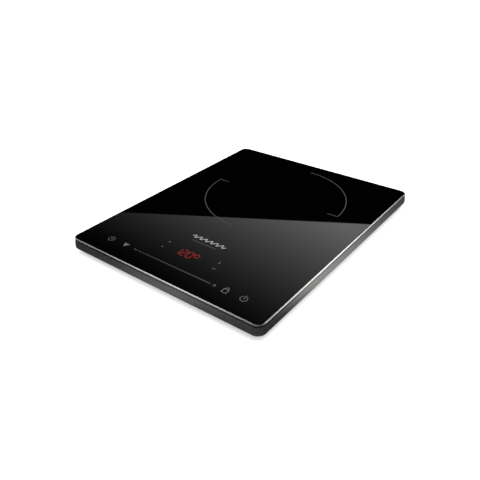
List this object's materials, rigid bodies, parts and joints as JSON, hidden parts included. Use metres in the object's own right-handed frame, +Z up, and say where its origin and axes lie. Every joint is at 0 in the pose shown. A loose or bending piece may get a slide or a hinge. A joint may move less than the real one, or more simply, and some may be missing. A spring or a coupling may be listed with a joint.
{
  "type": "portable induction hob",
  "caption": "Slim portable induction hob: black glass plate in a bright trim, dark metallic side frame, touch controls along the front, and a fan-cooled coil inside.",
  "frame": {"origin": "on the surface the hob stands on, under the middle of its outline", "axes": "+X to the user's right, +Y away from the user towards the cord gland, +Z up"},
  "size_m": [0.292, 0.366, 0.022],
  "materials": {
    "ceramic_glass": "polished black glass-ceramic with printed marks",
    "bright_trim": "satin bright trim",
    "side_metal": "dark grey metallic lacquer",
    "base_plastic": "fine moulded texture",
    "foot_rubber": "soft matt rubber",
    "seal_silicone": "black silicone",
    "screw_steel": "zinc plated",
    "dark_screw": "black zinc plated",
    "mica": "pressed mica",
    "litz": "enamelled copper litz",
    "copper": "enamelled copper wire",
    "former_plastic": "glass filled plastic",
    "ferrite": "sintered ferrite",
    "aluminium_sheet": "mill finish",
    "silicone_pad": "grey silicone",
    "sleeve": "braided glass fibre sleeve",
    "sensor_metal": "pressed capsule",
    "spring_steel": "spring steel",
    "fan_plastic": "moulded",
    "shaft_steel": "ground",
    "sinter_bronze": "sintered bronze",
    "magnet": "bonded ferrite magnet",
    "steel_cup": "drawn steel",
    "core_steel": "stacked laminations",
    "board_green": "solder mask",
    "heatsink_alu": "extruded",
    "chip_black": "moulded epoxy",
    "cap_yellow": "moulded box",
    "core_powder": "coated powder core",
    "fuse_glass": "glass cartridge with plated caps",
    "varistor_blue": "dipped",
    "transformer": "taped ferrite transformer",
    "can_alu": "sleeved can",
    "connector_white": "moulded nylon",
    "terminal_brass": "plated brass",
    "lead_red": "insulated lead",
    "lead_black": "insulated lead",
    "display_black": "moulded display",
    "led_lens": "clear lens",
    "foam": "conductive foam",
    "ribbon_grey": "flat cable"
  },
  "bodies": {
    "root": {"base_pan": "base_plastic", "base_screws": "dark_screw", "board_connectors": "connector_white", "bridge_rectifier": "chip_black", "buzzer": "chip_black", "choke_core": "core_powder", "choke_winding": "copper", "coil_former": "former_plastic", "coil_leads": "sleeve", "coil_pads": "silicone_pad", "coil_screws": "screw_steel", "coil_terminals": "terminal_brass", "control_board": "board_green", "cord_gland": "foot_rubber", "current_transformer": "transformer", "display_module": "display_black", "electrolytic_capacitors": "can_alu", "fan_bearing": "sinter_bronze", "fan_board": "board_green", "fan_cover": "fan_plastic", "fan_housing": "fan_plastic", "fan_lead": "lead_red", "fan_stator_core": "core_steel", "fan_stator_winding": "copper", "ferrite_bars": "ferrite", "filter_capacitor": "cap_yellow", "glass_seal": "seal_silicone", "glass_top": "ceramic_glass", "heatsink": "heatsink_alu", "heatsink_screws": "screw_steel", "igbt": "chip_black", "indicator_leds": "led_lens", "induction_coil": "litz", "inner_screws": "screw_steel", "mains_fuse": "fuse_glass", "mains_leads": "lead_black", "mica_sheet": "mica", "microcontroller": "chip_black", "power_board": "board_green", "resonant_capacitor": "cap_yellow", "ribbon_cable": "ribbon_grey", "rubber_feet": "foot_rubber", "sensor_holder": "silicone_pad", "sensor_lead": "sleeve", "sensor_spring": "spring_steel", "shield_plate": "aluminium_sheet", "side_frame": "side_metal", "slider_electrodes": "foam", "smoothing_capacitor": "cap_yellow", "standby_transformer": "transformer", "temperature_sensor": "sensor_metal", "terminal_block": "connector_white", "touch_springs": "spring_steel", "trim_frame": "bright_trim", "varistor": "varistor_blue"},
    "fan_rotor": {"fan_impeller": "fan_plastic", "fan_rotor_cup": "steel_cup", "fan_magnet_ring": "magnet", "fan_shaft": "shaft_steel", "fan_clip": "spring_steel"}
  },
  "joints": [
    {"name": "fan_spin", "type": "hinge", "parent": "root", "child": "fan_rotor", "pos_m": [0.092, -0.072, 0.011], "axis": [0, 0, 1], "continuous": true}
  ]
}
